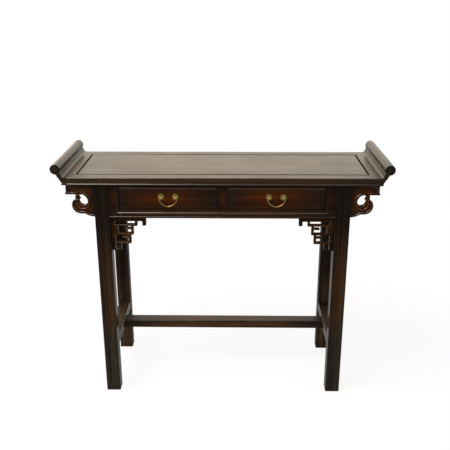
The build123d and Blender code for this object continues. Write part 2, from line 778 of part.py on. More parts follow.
front_half = opening_width / 2 - drawer_gap
front_bottom_z = opening_bottom_z + drawer_gap
front_top_z = opening_top_z - drawer_gap
side_bottom_z = opening_bottom_z + runner_clearance
side_inner_x = front_half - drawer_side_thickness
drawer_rear_y = case_back_y - drawer_rear_gap
bottom_z = side_bottom_z + drawer_bottom_raise
bottom_top_z = bottom_z + drawer_bottom_thickness
pull_z = (opening_bottom_z + opening_top_z) / 2 + pull_rise
back_y = drawer_rear_y - drawer_back_thickness


def side_tails():
    """The dovetails of the right side in the drawer front."""
    height = drawer_side_top_z - front_bottom_z
    tails = []
    for place in range(tail_count):
        z = front_bottom_z + height * (place + 0.5) / tail_count
        section = outline((drawer_back_y, z - tail_root_height / 2),
                          (drawer_back_y - tail_length, z - tail_tip_height / 2),
                          (drawer_back_y - tail_length, z + tail_tip_height / 2),
                          (drawer_back_y, z + tail_root_height / 2))
        tails.append(along_x(section, side_inner_x, front_half))
    return Part() + tails


def drawer_bottom():
    """The thin bottom, in grooves of the front and sides, and under the back."""
    reach = side_inner_x + drawer_bottom_groove
    return box_between(-reach, reach, drawer_back_y - drawer_bottom_groove, drawer_rear_y,
                       bottom_z, bottom_top_z)


def drawer_back():
    """The back, housed in the sides."""
    reach = side_inner_x + drawer_back_housing
    return box_between(-reach, reach, back_y, drawer_rear_y, bottom_top_z, drawer_side_top_z)


def drawer_side():
    """The right side."""
    side = box_between(side_inner_x, front_half, drawer_back_y, drawer_rear_y,
                       side_bottom_z, drawer_side_top_z)
    return side + side_tails() - drawer_bottom() - drawer_back()


def drawer_front():
    """The front, rounded all round, with sockets for the tails and holes for the pull."""
    front = box_between(-front_half, front_half, case_face_y, drawer_back_y, front_bottom_z, front_top_z)
    front = fillet(front.faces().sort_by(Axis.Y)[0].edges(), drawer_front_round)
    front -= side_tails() + left(side_tails()) + drawer_bottom()
    for x in (-pull_spread / 2, pull_spread / 2):
        front -= rod((x, case_face_y - 1, pull_z), (x, drawer_back_y + 1, pull_z),
                     post_shank_radius + shank_hole_clearance)
    return front


# ---- Bail pulls

ball_y = case_face_y - post_ball_reach
shank_tip_y = drawer_back_y + nut_thickness + shank_end
arm_x = pull_spread / 2 + post_ball_radius + bail_arm_gap + bail_wire_radius


def rosettes():
    """Two domed backplates, flat on top where the neck of the post sits."""
    seat = post_neck_radius + rosette_seat_margin
    section = make_face([
        Line((0, 0), (rosette_radius, 0)),
        Line((rosette_radius, 0), (rosette_radius, rosette_rim)),
        Spline((rosette_radius, rosette_rim), (rosette_shoulder_radius, rosette_shoulder_height),
               (seat, rosette_dome), tangents=((-0.3, 1), (-1, 0))),
        Line((seat, rosette_dome), (0, rosette_dome)),
        Line((0, rosette_dome), (0, 0)),
    ])
    plate = revolve(section, Axis.Y)
    bore = rod((0, -1, 0), (0, rosette_dome + 1, 0), post_shank_radius + shank_hole_clearance)
    plate = Rot(0, 0, 180) * (plate - bore)
    return Compound([Pos(x, case_face_y, pull_z) * plate for x in (-pull_spread / 2, pull_spread / 2)])


def pull_posts():
    """Two ball-headed posts, each with a cross hole for the bail and a shank through the front."""
    posts = []
    for x in (-pull_spread / 2, pull_spread / 2):
        post = rod((x, ball_y, pull_z), (x, shank_tip_y, pull_z), post_shank_radius)
        post += rod((x, ball_y, pull_z), (x, case_face_y - rosette_dome, pull_z), post_neck_radius)
        post += Pos(x, ball_y, pull_z) * Sphere(post_ball_radius)
        hole_radius = bail_pin_radius + bail_pin_clearance
        post -= rod((x - post_ball_radius, ball_y, pull_z), (x + post_ball_radius, ball_y, pull_z),
                    hole_radius)
        posts.append(post)
    return Compound(posts)


def pull_nuts():
    """Two square nuts inside the drawer."""
    nuts = []
    for x in (-pull_spread / 2, pull_spread / 2):
        nut = box_between(x - nut_width / 2, x + nut_width / 2, drawer_back_y, drawer_back_y + nut_thickness,
                          pull_z - nut_width / 2, pull_z + nut_width / 2)
        nuts.append(nut - rod((x, drawer_back_y - 1, pull_z), (x, shank_tip_y, pull_z), post_shank_radius))
    return Compound(nuts)


def bail():
    """The hanging bail: two pins turned inward, two short arms and a shallow curve between them."""
    right_half = [(arm_x * out, pull_z - bail_drop * down) for out, down in bail_curve]
    left_half = [(-x, z) for x, z in right_half]
    points = [(-arm_x, pull_z), *left_half, (0, pull_z - bail_drop), *reversed(right_half), (arm_x, pull_z)]
    path = Plane.XZ.offset(-ball_y) * Spline(*points, tangents=((0, -1), (0, 1)))
    section = Plane(origin=(-arm_x, ball_y, pull_z), z_dir=(0, 0, -1)) * Circle(bail_wire_radius)
    wire = sweep(section, path=path)
    for sign in (-1, 1):
        wire += Pos(sign * arm_x, ball_y, pull_z) * Sphere(bail_wire_radius)
        pin_tip = sign * (pull_spread / 2 - bail_pin_end)
        wire += rod((sign * arm_x, ball_y, pull_z), (pin_tip, ball_y, pull_z), bail_pin_radius)
    return wire


for side, centre in (("left", -drawer_centre_x), ("right", drawer_centre_x)):
    place = Pos(centre, 0, 0)
    pieces["drawer_" + side + "_front"] = place * drawer_front()
    pieces["drawer_" + side + "_side_right"] = place * drawer_side()
    pieces["drawer_" + side + "_side_left"] = place * left(drawer_side())
    pieces["drawer_" + side + "_back"] = place * drawer_back()
    pieces["drawer_" + side + "_bottom"] = place * drawer_bottom()
    pieces["pull_" + side + "_rosettes"] = place * rosettes()
    pieces["pull_" + side + "_posts"] = place * pull_posts()
    pieces["pull_" + side + "_nuts"] = place * pull_nuts()
    pieces["pull_" + side + "_bail"] = place * bail()


# ---- Write one file for each piece

os.makedirs("parts", exist_ok=True)
for name, piece in pieces.items():
    export_step(piece, "parts/" + name + ".step")
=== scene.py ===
import math
from collections import namedtuple
import bmesh
import bpy
import numpy as np
from mathutils import Matrix, Vector


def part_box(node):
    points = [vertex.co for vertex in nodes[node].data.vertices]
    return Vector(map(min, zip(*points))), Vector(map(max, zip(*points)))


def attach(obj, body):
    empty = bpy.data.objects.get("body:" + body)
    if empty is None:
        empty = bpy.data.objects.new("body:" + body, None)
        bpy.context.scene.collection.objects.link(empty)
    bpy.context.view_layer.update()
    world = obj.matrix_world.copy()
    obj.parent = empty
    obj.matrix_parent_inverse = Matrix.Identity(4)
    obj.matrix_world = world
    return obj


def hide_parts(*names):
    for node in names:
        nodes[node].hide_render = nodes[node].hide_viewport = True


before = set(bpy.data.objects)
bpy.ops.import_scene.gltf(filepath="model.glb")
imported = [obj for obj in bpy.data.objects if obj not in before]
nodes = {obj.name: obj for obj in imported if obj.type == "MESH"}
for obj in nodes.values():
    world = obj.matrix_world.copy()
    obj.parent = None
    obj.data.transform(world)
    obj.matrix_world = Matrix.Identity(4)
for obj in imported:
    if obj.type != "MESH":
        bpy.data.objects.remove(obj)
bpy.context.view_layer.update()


# ---- Places on the table, in metres

top_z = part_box("top_panel")[1][2]
under_top_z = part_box("top_rail_front")[0][2]
end_rail_inner_x = -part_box("top_end_rail_left")[1][0]
front_rail_inner_y = -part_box("top_rail_front")[1][1]
leg_outer_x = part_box("leg_front_right")[1][0]
frieze_face_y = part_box("spandrel_front_right")[0][1]
drawer_face_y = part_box("drawer_right_front")[0][1]
post_low, post_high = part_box("pull_right_posts")
pull_x = (post_low[0] + post_high[0]) / 2
pull_z = (post_low[2] + post_high[2]) / 2


# ---- Camera: standing before the middle of the table, looking down on the top

camera_place = Vector((0.04202, -2.32363, 1.45227))
camera_yaw = math.radians(-0.87)
camera_pitch = math.radians(20.20)     # below the level
camera_roll = math.radians(0.07)
camera_lens = 53.473                   # mm
camera_sensor = 36.0                   # mm across


def point_camera():
    """The camera's axes are its view direction turned by yaw, then tipped by pitch, then rolled."""
    level = math.cos(camera_pitch)
    ahead = Vector((math.sin(camera_yaw) * level, math.cos(camera_yaw) * level, -math.sin(camera_pitch)))
    across = Vector((math.cos(camera_yaw), -math.sin(camera_yaw), 0))
    down = ahead.cross(across)
    right = across * math.cos(camera_roll) + down * math.sin(camera_roll)
    down = down * math.cos(camera_roll) - across * math.sin(camera_roll)
    lens = bpy.data.cameras.new("camera")
    lens.sensor_width = camera_sensor
    lens.lens = camera_lens
    camera = bpy.data.objects.new("camera", lens)
    turn = Matrix((right, -down, -ahead)).transposed()
    camera.matrix_world = Matrix.Translation(camera_place) @ turn.to_4x4()
    bpy.context.scene.collection.objects.link(camera)
    bpy.context.scene.camera = camera


point_camera()
bpy.context.scene.view_settings.view_transform = "Standard"


# ---- Small helpers for node trees

def add(tree, kind, **settings):
    """A new node of that kind. A setting is one of its properties."""
    node = tree.nodes.new(kind)
    for name, value in settings.items():
        setattr(node, name, value)
    return node


def feed(tree, socket, value):
    """Joins an output to a socket, or sets the socket to a constant."""
    if isinstance(value, bpy.types.NodeSocket):
        tree.links.new(value, socket)
    else:
        socket.default_value = value


def reckon(tree, operation, first, second=0.0, third=0.0):
    """One step of arithmetic on single values, such as MULTIPLY or MAXIMUM."""
    node = add(tree, "ShaderNodeMath", operation=operation)
    feed(tree, node.inputs[0], first)
    feed(tree, node.inputs[1], second)
    feed(tree, node.inputs[2], third)
    return node.outputs[0]


def reckon_vector(tree, operation, first, second=(0.0, 0.0, 0.0)):
    """One step of arithmetic on vectors. LENGTH gives a single value, the others give a vector."""
    node = add(tree, "ShaderNodeVectorMath", operation=operation)
    feed(tree, node.inputs[0], first)
    feed(tree, node.inputs[1], second)
    return node.outputs["Value"] if operation == "LENGTH" else node.outputs["Vector"]


def split(tree, vector):
    """The x, y and z of a vector."""
    node = add(tree, "ShaderNodeSeparateXYZ")
    feed(tree, node.inputs[0], vector)
    return node.outputs


# A Mix node has sockets for every kind of value. These are the places of its colours.
under_socket = 6
over_socket = 7
mixed_socket = 2


def blend_colour(tree, share, under, over, how="MIX"):
    """Lays one colour over another by a share from 0 to 1, mixed in or multiplied."""
    node = add(tree, "ShaderNodeMix", data_type="RGBA", blend_type=how)
    feed(tree, node.inputs["Factor"], share)
    feed(tree, node.inputs[under_socket], under)
    feed(tree, node.inputs[over_socket], over)
    return node.outputs[mixed_socket]


def blend_shaders(tree, share, first, second, output):
    """Takes the first shader to the second as share goes from 0 to 1, and joins them to the output node."""
    node = add(tree, "ShaderNodeMixShader")
    feed(tree, node.inputs[0], share)
    feed(tree, node.inputs[1], first.outputs[0])
    feed(tree, node.inputs[2], second.outputs[0])
    feed(tree, output.inputs["Surface"], node.outputs[0])


def ramp(tree, share, *stops):
    """A colour ramp. Each stop is (place, colour)."""
    node = add(tree, "ShaderNodeValToRGB")
    elements = node.color_ramp.elements
    while len(elements) < len(stops):
        elements.new(0.5)
    for element, (place, colour) in zip(elements, stops):
        element.position = place
        element.color = (*colour, 1.0)
    feed(tree, node.inputs["Fac"], share)
    return node.outputs["Color"]


def stretch(tree, value, low, high, first=0.0, last=1.0, how="LINEAR"):
    """Takes values from low to high onto first to last, and holds them there."""
    node = add(tree, "ShaderNodeMapRange", clamp=True, interpolation_type=how)
    feed(tree, node.inputs["Value"], value)
    node.inputs["From Min"].default_value = low
    node.inputs["From Max"].default_value = high
    node.inputs["To Min"].default_value = first
    node.inputs["To Max"].default_value = last
    return node.outputs["Result"]


def noise(tree, place, scale, detail, roughness, distortion=0.0):
    """Soft random values around 0.5. scale is how many waves lie across a metre."""
    node = add(tree, "ShaderNodeTexNoise")
    feed(tree, node.inputs["Vector"], place)
    node.inputs["Scale"].default_value = scale
    node.inputs["Detail"].default_value = detail
    node.inputs["Roughness"].default_value = roughness
    node.inputs["Distortion"].default_value = distortion
    return node.outputs["Fac"]


def grain_noise(tree, place, grain, far, near, *character):
    """Noise drawn out along the grain: far waves lie along a metre of it, and near waves across."""
    node = add(tree, "ShaderNodeMapping")
    feed(tree, node.inputs["Vector"], place)
    node.inputs["Scale"].default_value = tuple(far if axis == grain else near for axis in "xyz")
    return noise(tree, node.outputs["Vector"], 1.0, *character)


def shifted(tree, place, shift):
    """Moves a pattern by its own amount on each piece, so that no two pieces are cut from the same wood."""
    node = add(tree, "ShaderNodeMapping")
    feed(tree, node.inputs["Vector"], place)
    node.inputs["Location"].default_value = tuple(shift * way for way in shift_way)
    return node.outputs["Vector"]


def dent(tree, shader, height, strength, depth):
    """Feeds a height to the shader's bump."""
    bump = add(tree, "ShaderNodeBump")
    bump.inputs["Strength"].default_value = strength
    bump.inputs["Distance"].default_value = depth
    feed(tree, bump.inputs["Height"], height)
    feed(tree, shader.inputs["Normal"], bump.outputs["Normal"])


def new_material(name):
    """A material with its node tree and its main shader."""
    material = bpy.data.materials.new(name)
    material.use_nodes = True
    tree = material.node_tree
    return material, tree, tree.nodes["Principled BSDF"]


# ---- Lacquered rosewood

# The shaded colour of the ends and edges, the warm colour of the middle, the roughness, how strongly the
# lacquer bends light, how many warm patches and how many streaks lie across a metre of it, and how deep the
# streaks are.
Lacquer = namedtuple("Lacquer", "shaded warm roughness bending patches streaks streak_depth")
lacquers = {
    "case": ((0.0088, 0.0040, 0.0018), (0.0300, 0.0090, 0.0021), 0.28, 1.12, 14.0, 40.0, 0.35),
    "rail": ((0.0125, 0.0070, 0.0036), (0.0370, 0.0150, 0.0052), 0.28, 1.12, 14.0, 40.0, 0.35),
    "board": ((0.0180, 0.0110, 0.0065), (0.0380, 0.0150, 0.0055), 0.42, 1.15, 14.0, 30.0, 0.35),
    "drawer": ((0.0150, 0.0074, 0.0036), (0.0570, 0.0125, 0.0005), 0.26, 1.12, 14.0, 45.0, 0.35),
    "leg": ((0.0190, 0.0158, 0.0118), (0.0440, 0.0195, 0.0082), 0.32, 1.10, 36.0, 80.0, 0.65),
    "rear_leg": ((0.0160, 0.0115, 0.0088), (0.0500, 0.0310, 0.0195), 0.36, 1.05, 36.0, 80.0, 0.60),
    "stretcher": ((0.0150, 0.0115, 0.0080), (0.0620, 0.0290, 0.0120), 0.34, 1.12, 30.0, 60.0, 0.35),
    "side_stretcher": ((0.0190, 0.0135, 0.0100), (0.0440, 0.0290, 0.0190), 0.36, 1.09, 30.0, 60.0, 0.35),
    "top": ((0.0300, 0.0180, 0.0100), (0.0560, 0.0260, 0.0090), 0.36, 1.15, 14.0, 30.0, 0.18),
    "edge": ((0.0205, 0.0120, 0.0066), (0.0410, 0.0172, 0.0055), 0.36, 1.15, 30.0, 60.0, 0.30),
    "flange": ((0.0165, 0.0115, 0.0074), (0.0270, 0.0155, 0.0082), 0.34, 1.15, 14.0, 30.0, 0.20),
    "frieze": ((0.0115, 0.0052, 0.0022), (0.0430, 0.0128, 0.0016), 0.28, 1.12, 20.0, 40.0, 0.25),
    "fret": ((0.0190, 0.0090, 0.0032), (0.0460, 0.0175, 0.0036), 0.30, 1.04, 20.0, 40.0, 0.30),
}

# By the start of a node's name: the kind of its lacquer, the axis of its grain, where the shading starts and
# ends in from an end of it, how far the shading reaches in from an edge, how far the warm middle is lifted,
# all in metres, and how glossy the arrises are and how bright a painted highlight they get.
Shading = namedtuple("Shading", "kind grain reach_along reach_across lift burnish")
shadings = {
    "drawer_": ("drawer", "x", (0.0, 0.150), 0.030, 0.0, 0.6),
    "case_stile": ("case", "z", (0.0, 0.040), 0.018, 0.0, 0.5),
    "case_divider": ("case", "z", (0.0, 0.040), 0.014, 0.0, 1.0),
    "case_rail_bottom": ("rail", "x", (0.0, 0.200), 0.014, 0.0, 1.0),
    "case_rail_top": ("case", "x", (0.0, 0.200), 0.014, 0.0, 1.0),
    "case_side": ("case", "y", (0.0, 0.100), 0.040, 0.0, 1.0),
    "case_back": ("board", "x", (0.0, 0.250), 0.050, 0.0, 0.3),
    "leg_front": ("leg", "z", (0.150, 0.320), 0.022, 0.03, 0.25),
    "leg_rear": ("rear_leg", "z", (0.150, 0.320), 0.022, -0.30, 0.3),
    "stretcher_centre": ("stretcher", "x", (0.0, 0.300), 0.012, 0.0, 0.7),
    "stretcher_side": ("side_stretcher", "y", (0.0, 0.120), 0.012, 0.0, 0.7),
    "top_panel": ("top", "x", (0.0, 0.300), 0.120, 0.0, 0.4),
    "top_rail": ("edge", "x", (0.0, 0.300), 0.020, 0.0, 1.0),
    "top_end_rail": ("edge", "y", (0.0, 0.120), 0.012, 0.0, 0.4),
    "end_flange": ("flange", "y", (0.0, 0.120), 0.020, 0.0, 0.0),
    "apron_": ("frieze", "y", (0.0, 0.120), 0.014, 0.0, 1.0),
    "spandrel_": ("frieze", "x", (0.0, 0.040), 0.030, 0.0, 0.8),
    "fret_": ("fret", "x", (0.0, 0.040), 0.040, 0.0, 0.8),
}

piece_shift = 0.37             # metres of wood between one piece's figure and the next one's
shift_way = (1.0, 1.7, -1.0)   # the direction in which they lie apart
edge_share = 0.25              # how much warm tone is left at the very edge

# Waves in a metre along the grain, and for the pores across it too. A character is the noise's detail,
# roughness and, if it has any, distortion. A band is where a noise is cut: from none of it to all of it.
figure_along = 1.6
figure_character = (6.0, 0.62, 0.6)
streak_band = (0.38, 0.60)
cloud_along = 5.0
cloud_character = (4.0, 0.55, 0.4)
cloud_band = (0.34, 0.64)
cloud_warmth = (0.45, 1.25)    # what the warm tone is multiplied by, outside and inside a cloud
pore_along = 26.0
pore_across = 620.0
pore_character = (2.0, 0.5)
pore_band = (0.60, 0.70)
# The dark of the open pores, also used as the colour of painted shade under the top and at the drawer fronts'
# ends.
pore_and_shade_tone = (0.004, 0.0022, 0.0012, 1.0)
pore_strength = 0.45

# The gloss comes and goes in soft clouds, and the figure and the pores can be felt a little.
haze_waves = 9.0
haze_character = (3.0, 0.6)
haze_swing = 0.14
pore_relief = 0.5
lacquer_relief = 0.18
wood_relief_depth = 0.0004

# A leg is made darker towards the case and lighter and greyer towards the foot: height in metres, and what
# its wood is multiplied by.
leg_tone_by_height = ((0.20, (1.05, 1.09, 1.09)), (0.45, (0.92, 0.90, 0.88)), (0.66, (0.48, 0.40, 0.36)))

# A drawer front has a painted highlight along its top, and painted shade at its ends: metres in from the
# edge.
top_highlight_band = (0.007, 0.003)
top_highlight_share = 0.45
top_highlight_tone = (0.100, 0.052, 0.028, 1.0)
end_shade_band = (0.0020, 0.0035)

# Painted shade in the corner under the top, on the kinds that meet it there.
under_top_shade_kinds = ("case", "leg", "rear_leg", "frieze")
under_top_shade_start_z = under_top_z - 0.0065
under_top_shade_full_z = under_top_z - 0.0035

# Arrises are burnished by dusting, and their colour is lightened, partly as wear and partly as a painted
# highlight that is strongest where they face up. A face turns into one as its normal leaves the axes by
# arris_turn.
arris_turn = (0.03, 0.16)
level_turn = 0.35              # upward lean of the normal at which an arris is fully burnished
upright_gloss_and_highlight = 0.35           # how burnished an upright arris is
wear_and_highlight_tone = (0.150, 0.100, 0.060, 1.0)
wear_and_highlight_share = 0.08
polish_ior = 1.6
polish_roughness = 0.16


def depth_inside(tree, place, low, high, lift=0.0):
    """How far inside a box from low to high a place lies, along each axis, with the box's middle lifted."""
    centre = [(a + b) / 2 for a, b in zip(low, high)]
    centre[2] += lift
    half = tuple((b - a) / 2 for a, b in zip(low, high))
    from_centre = reckon_vector(tree, "ABSOLUTE", reckon_vector(tree, "SUBTRACT", place, tuple(centre)))
    return dict(zip("xyz", split(tree, reckon_vector(tree, "SUBTRACT", half, from_centre))))


def sunburst(tree, depth, shading):
    """1 in the middle of a member, falling towards its ends and edges, as a shaded lacquer does."""
    from_end = stretch(tree, depth[shading.grain], *shading.reach_along, how="SMOOTHSTEP")
    across = [depth[axis] for axis in "xyz" if axis != shading.grain]
    deepest = reckon(tree, "MAXIMUM", *across)
    from_edge = stretch(tree, deepest, 0.0, shading.reach_across, edge_share, 1.0, "SMOOTHSTEP")
    return reckon(tree, "MULTIPLY", from_end, from_edge)


def shaded_wood(tree, lacquer, moved, grain, burst, figure, open_pore):
    """Warm in cloudy patches where the burst lets it be, streaked by the figure, and dark in the pores."""
    cloud = grain_noise(tree, moved, grain, cloud_along, lacquer.patches, *cloud_character)
    warmth = reckon(tree, "MULTIPLY", burst, stretch(tree, cloud, *cloud_band, *cloud_warmth))
    warmth = stretch(tree, warmth, 0.0, 1.0)
    wood = blend_colour(tree, warmth, (*lacquer.shaded, 1.0), (*lacquer.warm, 1.0))
    darkest = 1.0 - lacquer.streak_depth
    lightest = 1.0 + lacquer.streak_depth / 2
    streak = stretch(tree, figure, *streak_band, darkest, lightest)
    wood = blend_colour(tree, 1.0, wood, streak, "MULTIPLY")
    return blend_colour(tree, reckon(tree, "MULTIPLY", open_pore, pore_strength), wood, pore_and_shade_tone)


def drawer_highlight_and_shade(tree, wood, place, low, high):
    """A drawer front's colour, with a painted highlight along its top and painted shade at its ends."""
    highlight_from, highlight_to = (high[2] - inset for inset in top_highlight_band)
    # Painted highlight: the top few millimetres of the front are lightened.
    brightened = stretch(tree, split(tree, place)[2], highlight_from, highlight_to, 0.0, top_highlight_share)
    wood = blend_colour(tree, brightened, wood, top_highlight_tone)
    # Painted shade: the ends of the front darken to the pore tone.
    from_end = depth_inside(tree, place, low, high)["x"]
    return blend_colour(tree, stretch(tree, from_end, *end_shade_band, 1.0, 0.0), wood, pore_and_shade_tone)


def arris_mask(tree, normal):
    """1 where a surface turns from an upright face to a level one, less on upright arrises, and 0 on flat
    faces. It is highest on arrises that face up, so the painted highlight it carries falls as if lit from
    above."""
    nx, ny, nz = split(tree, reckon_vector(tree, "ABSOLUTE", normal))
    flattest = reckon(tree, "MAXIMUM", nx, reckon(tree, "MAXIMUM", ny, nz))
    turned = stretch(tree, reckon(tree, "SUBTRACT", 1.0, flattest), *arris_turn, how="SMOOTHSTEP")
    facing_up = stretch(tree, split(tree, normal)[2], 0.0, level_turn, upright_gloss_and_highlight, 1.0, "SMOOTHSTEP")
    return reckon(tree, "MULTIPLY", turned, facing_up)


def burnished_and_highlighted(tree, shader, wood, normal, burnish):
    """Polishes the arrises, and lightens the wood's colour on them, partly as wear and partly as a painted
    highlight.
    """
    arris = arris_mask(tree, normal)
    feed(tree, shader.inputs["Coat Weight"], reckon(tree, "MULTIPLY", arris, burnish))
    shader.inputs["Coat IOR"].default_value = polish_ior
    shader.inputs["Coat Roughness"].default_value = polish_roughness
    # Painted highlight, mixed with wear: the arrises' colour is lightened towards the worn tone.
    return blend_colour(tree, reckon(tree, "MULTIPLY", arris, wear_and_highlight_share * burnish), wood, wear_and_highlight_tone)


def place_tones_and_painted_light(tree, wood, place, kind, low, high):
    """Colour by place on some kinds of piece: legs darker towards the case and lighter towards the foot, a
    painted highlight along the drawer fronts' tops and painted shade at their ends, and painted shade in the
    corner under the top.
    """
    if kind in ("leg", "rear_leg"):
        wood = blend_colour(tree, 1.0, wood, ramp(tree, split(tree, place)[2], *leg_tone_by_height), "MULTIPLY")
    if kind == "drawer":
        wood = drawer_highlight_and_shade(tree, wood, place, low, high)
    # Painted shade: these kinds darken to the pore tone just under the top.
    if kind in under_top_shade_kinds:
        under_top_shade = stretch(tree, split(tree, place)[2], under_top_shade_start_z, under_top_shade_full_z, how="SMOOTHSTEP")
        wood = blend_colour(tree, under_top_shade, wood, pore_and_shade_tone)
    return wood


def lacquer_for(name, shift):
    """The shaded lacquer of one node, laid out on that node's own box."""
    shading = Shading(*next(shadings[start] for start in shadings if name.startswith(start)))
    lacquer = Lacquer(*lacquers[shading.kind])
    low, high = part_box(name)
    material, tree, shader = new_material("lacquer_" + name)
    spot = add(tree, "ShaderNodeTexCoord")
    place = spot.outputs["Object"]
    moved = shifted(tree, place, shift)
    figure = grain_noise(tree, moved, shading.grain, figure_along, lacquer.streaks, *figure_character)
    pore = grain_noise(tree, moved, shading.grain, pore_along, pore_across, *pore_character)
    open_pore = stretch(tree, pore, *pore_band)
    burst = sunburst(tree, depth_inside(tree, place, low, high, shading.lift), shading)
    wood = shaded_wood(tree, lacquer, moved, shading.grain, burst, figure, open_pore)
    wood = place_tones_and_painted_light(tree, wood, place, shading.kind, low, high)
    if shading.burnish:
        wood = burnished_and_highlighted(tree, shader, wood, spot.outputs["Normal"], shading.burnish)
    feed(tree, shader.inputs["Base Color"], wood)
    shader.inputs["IOR"].default_value = lacquer.bending
    haze = noise(tree, moved, haze_waves, *haze_character)
    glossiest = lacquer.roughness - haze_swing / 2
    feed(tree, shader.inputs["Roughness"], reckon(tree, "MULTIPLY_ADD", haze, haze_swing, glossiest))
    relief = reckon(tree, "SUBTRACT", figure, reckon(tree, "MULTIPLY", open_pore, pore_relief))
    dent(tree, shader, relief, lacquer_relief, wood_relief_depth)
    return material


# ---- Bare wood, brass and the groove's painted shade

# Waves in a metre of bare wood, along the grain and across it, and the tones its figure goes through.
bare_figure_waves = (1.5, 32.0)
bare_figure_character = (6.0, 0.6, 0.8)
bare_tones = ((0.3, (0.21, 0.115, 0.055)), (0.7, (0.34, 0.205, 0.105)))
bare_pore_waves = (20.0, 500.0)
bare_pore_band = (0.58, 0.70)
bare_pore_tone = (0.10, 0.055, 0.028, 1.0)
bare_pore_strength = 0.5
bare_relief = 0.2

crumb_character = (4.0, 0.6)
tarnish_waves = 260.0
tarnish_share = 0.8            # how much the noise adds to the height before they are cut by the band
tarnish_band = (0.55, 1.05)
tarnish_tone = (0.035, 0.025, 0.010, 1.0)
brass_roughness = (0.55, 0.30)     # tarnished, and rubbed bright
# The speckle and tones of the painted shade in the groove round the panel.
groove_shade_waves = 240.0
groove_shade_tones = ((0.35, (0.006, 0.004, 0.003)), (0.65, (0.014, 0.010, 0.007)))


def bare_wood(name, grain, shift):
    """Plain unlacquered wood of the drawers' insides, their runners and guides, and the battens."""
    material, tree, shader = new_material("bare_" + name)
    place = add(tree, "ShaderNodeTexCoord").outputs["Object"]
    moved = shifted(tree, place, shift)
    figure = grain_noise(tree, moved, grain, *bare_figure_waves, *bare_figure_character)
    pore = grain_noise(tree, moved, grain, *bare_pore_waves, *pore_character)
    wood = ramp(tree, figure, *bare_tones)
    open_pore = reckon(tree, "MULTIPLY", stretch(tree, pore, *bare_pore_band), bare_pore_strength)
    feed(tree, shader.inputs["Base Color"], blend_colour(tree, open_pore, wood, bare_pore_tone))
    shader.inputs["Roughness"].default_value = 0.7
    shader.inputs["IOR"].default_value = 1.3
    dent(tree, shader, figure, bare_relief, wood_relief_depth)
    return material


def aged_brass(name, hollow, crest, bright):
    """Old brass. hollow and crest are heights out from the drawer front: it is brown below the first, and
    rubbed bright towards the second."""
    material, tree, shader = new_material(name)
    place = add(tree, "ShaderNodeTexCoord").outputs["Object"]
    tarnish = noise(tree, place, tarnish_waves, *crumb_character)
    height = stretch(tree, split(tree, place)[1], drawer_face_y - hollow, drawer_face_y - crest)
    brightened = stretch(tree, reckon(tree, "MULTIPLY_ADD", tarnish, tarnish_share, height), *tarnish_band)
    feed(tree, shader.inputs["Base Color"], blend_colour(tree, brightened, tarnish_tone, (*bright, 1.0)))
    shader.inputs["Metallic"].default_value = 1.0
    feed(tree, shader.inputs["Roughness"], stretch(tree, brightened, 0.0, 1.0, *brass_roughness))
    dent(tree, shader, tarnish, strength=0.12, depth=0.0003)
    return material


def painted_groove_shade():
    """A nearly black, dull sheet that paints the shade in the groove round the panel."""
    material, tree, shader = new_material("painted_groove_shade")
    place = add(tree, "ShaderNodeTexCoord").outputs["Object"]
    speckle = noise(tree, place, groove_shade_waves, *crumb_character)
    feed(tree, shader.inputs["Base Color"], ramp(tree, speckle, *groove_shade_tones))
    shader.inputs["Roughness"].default_value = 0.8
    shader.inputs["IOR"].default_value = 1.05
    dent(tree, shader, speckle, strength=0.3, depth=0.0004)
    return material


# ---- Shapes

merge_distance = 2e-6
flat_angle = math.radians(0.5)     # faces that turn by less are one flat face
arris_angle = math.radians(40)     # edges that turn by more are eased
easing_steps = 2


def angles_round(count):
    """count even angles round a full turn."""
    return np.arange(count) * 2 * math.pi / count


def way_along(path):
    """The distance of each point of a path from its start."""
    return np.concatenate(([0.0], np.cumsum(np.linalg.norm(np.diff(path, axis=0), axis=1))))


def heading_of(path):
    """The direction of a path at each of its points, as a vector of length 1."""
    heading = np.gradient(path, way_along(path), axis=0)
    return heading / np.linalg.norm(heading, axis=1)[:, None]


def domed_ends(path, reach):
    """What a bar's section is multiplied by: sqrt(1 - (1 - d / reach)^2), where d is the way to the nearer
    end of the path, and 1 where d is more than reach."""
    travelled = way_along(path)
    to_end = np.minimum(travelled, travelled[-1] - travelled) / reach
    return np.sqrt(1 - (1 - np.clip(to_end, 0, 1)) ** 2)


def ring_net(points, close_ends=True):
    """The net over rings of points, given as (rings, points round, 3): a face joins two neighbours of a ring
    to the same two of the next, and the first and last ring can be closed by a face of their own. It gives
    the points, and the faces in groups with as many corners."""
    rings, around = points.shape[:2]
    number = np.arange(rings * around).reshape(rings, around)
    beside = np.roll(number, -1, axis=1)
    groups = [np.stack((number[:-1], number[1:], beside[1:], beside[:-1]), axis=-1).reshape(-1, 4)]
    if close_ends:
        groups.append(np.stack((number[0], number[-1, ::-1])))
    return points.reshape(-1, 3), groups


